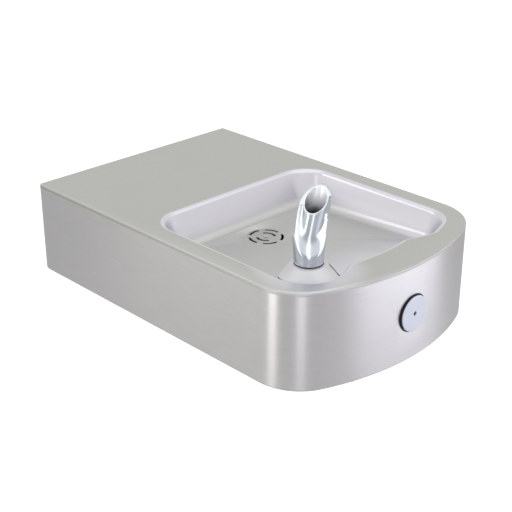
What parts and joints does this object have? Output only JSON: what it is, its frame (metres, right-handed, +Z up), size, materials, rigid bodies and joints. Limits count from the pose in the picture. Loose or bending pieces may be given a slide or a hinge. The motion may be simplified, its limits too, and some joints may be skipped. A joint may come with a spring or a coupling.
{
  "type": "wall-mounted drinking fountain",
  "caption": "Wall-hung stainless drinking fountain with a rounded front, a pressed bowl, a chrome bubbler on a mound and a front push button.",
  "frame": {"origin": "middle of the four wall bolts, on the wall plane, halfway up the body", "axes": "+Z up, +Y into the wall, so the rounded front faces -Y, and +X to the right seen from the front"},
  "size_m": [0.3174, 0.486, 0.2154],
  "materials": {
    "satin_steel": "satin stainless steel",
    "skirt_steel": "satin stainless steel",
    "chrome": "polished chrome plate",
    "button_satin": "fine satin",
    "black_plastic": "matt",
    "zinc_steel": "zinc plated",
    "fastener_steel": "bright",
    "brass": "turned",
    "copper": "drawn copper",
    "rubber": "matt",
    "waste_chrome": "bright plate",
    "white_plastic": "matt"
  },
  "bodies": {
    "fountain": {"basin_deck": "satin_steel", "apron_skirt": "skirt_steel", "back_panel": "zinc_steel", "mounting_plates": "zinc_steel", "bottom_cover": "skirt_steel", "cover_screws": "fastener_steel", "cover_nuts": "fastener_steel", "sound_pad": "rubber", "bubbler_head": "chrome", "bubbler_nozzle": "brass", "bubbler_gasket": "rubber", "bubbler_shank": "brass", "bubbler_washer": "rubber", "bubbler_locknut": "brass", "bubbler_union": "brass", "outlet_tube": "copper", "outlet_nut": "brass", "button_sleeve": "black_plastic", "return_spring": "fastener_steel", "packing_nut": "brass", "stem_seal": "rubber", "valve_body": "brass", "valve_bracket": "zinc_steel", "bracket_screws": "fastener_steel", "bracket_nuts": "fastener_steel", "inlet_nut": "brass", "valve_feed": "copper", "inline_strainer": "brass", "supply_nut": "brass", "supply_tube": "copper", "tube_hanger": "zinc_steel", "drain_screw": "fastener_steel", "drain_gasket": "rubber", "drain_cup": "waste_chrome", "slip_nut": "waste_chrome", "slip_washer": "white_plastic", "waste_tube": "waste_chrome"},
    "button": {"button_face": "button_satin", "button_body": "black_plastic", "valve_stem": "fastener_steel"},
    "regulator": {"regulator_screw": "brass"}
  },
  "joints": [
    {"name": "button_press", "type": "slide", "parent": "fountain", "child": "button", "axis": [0, 1, 0], "range_m": [0, 0.0032], "stiffness_N_per_m": 1250, "springref_m": -0.0064, "deforming": ["return_spring"]},
    {"name": "regulator_turn", "type": "hinge", "parent": "button", "child": "regulator", "pos_m": [0, -0.48, 0], "axis": [0, 1, 0], "range_deg": [-180, 180]}
  ]
}
